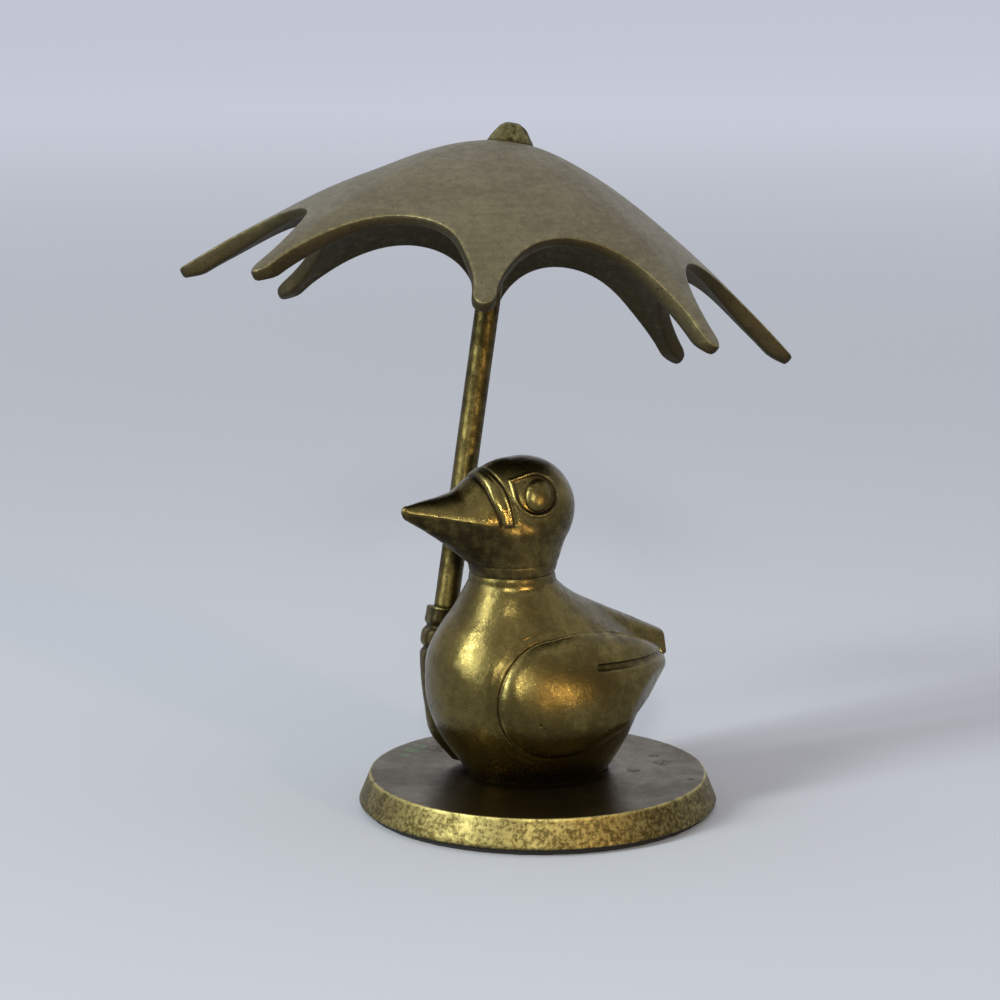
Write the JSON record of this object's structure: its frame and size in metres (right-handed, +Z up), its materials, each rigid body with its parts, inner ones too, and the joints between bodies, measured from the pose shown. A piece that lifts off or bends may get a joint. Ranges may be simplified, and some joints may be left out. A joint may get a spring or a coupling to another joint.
{
  "type": "brass duck",
  "caption": "Cast brass duck on a round felt-padded base, holding a screw-in umbrella with an arched dome canopy over its head.",
  "frame": {"origin": "centre of the underside of the felt pad, where the ornament stands", "axes": "+Z up; the duck's beak points along -Y; the duck's left side is +X; its raised right wing and the umbrella's foot are on the -X side"},
  "size_m": [0.1226, 0.1202, 0.1373],
  "materials": {
    "base": "turned, aged, satin",
    "pad": "black felt",
    "fixings": "machined",
    "casting": "cast, filed, aged, semi-gloss",
    "rod": "drawn bar, aged",
    "canopy": "cast, brushed, aged, matt",
    "finial": "rough cast, aged"
  },
  "bodies": {
    "duck": {"base_disc": "base", "felt_pad": "pad", "base_washer": "fixings", "base_screw": "fixings", "duck_body": "casting"},
    "rod": {"umbrella_rod": "rod"},
    "canopy": {"umbrella_canopy": "canopy", "finial": "finial"}
  },
  "joints": [
    {"name": "umbrella_lift", "type": "slide", "parent": "duck", "child": "rod", "axis": [-0.0845, 0.2001, 0.9761], "range_m": [0, 0.0057]},
    {"name": "umbrella_turn", "type": "hinge", "parent": "rod", "child": "canopy", "pos_m": [-0.0172, -0.0122, 0.0388], "axis": [-0.0845, 0.2001, 0.9761], "range_deg": [0, 2880]}
  ],
  "couplings": [
    {"joint": "umbrella_lift", "follows": "umbrella_turn", "m_per_rad": 0.00011141}
  ]
}
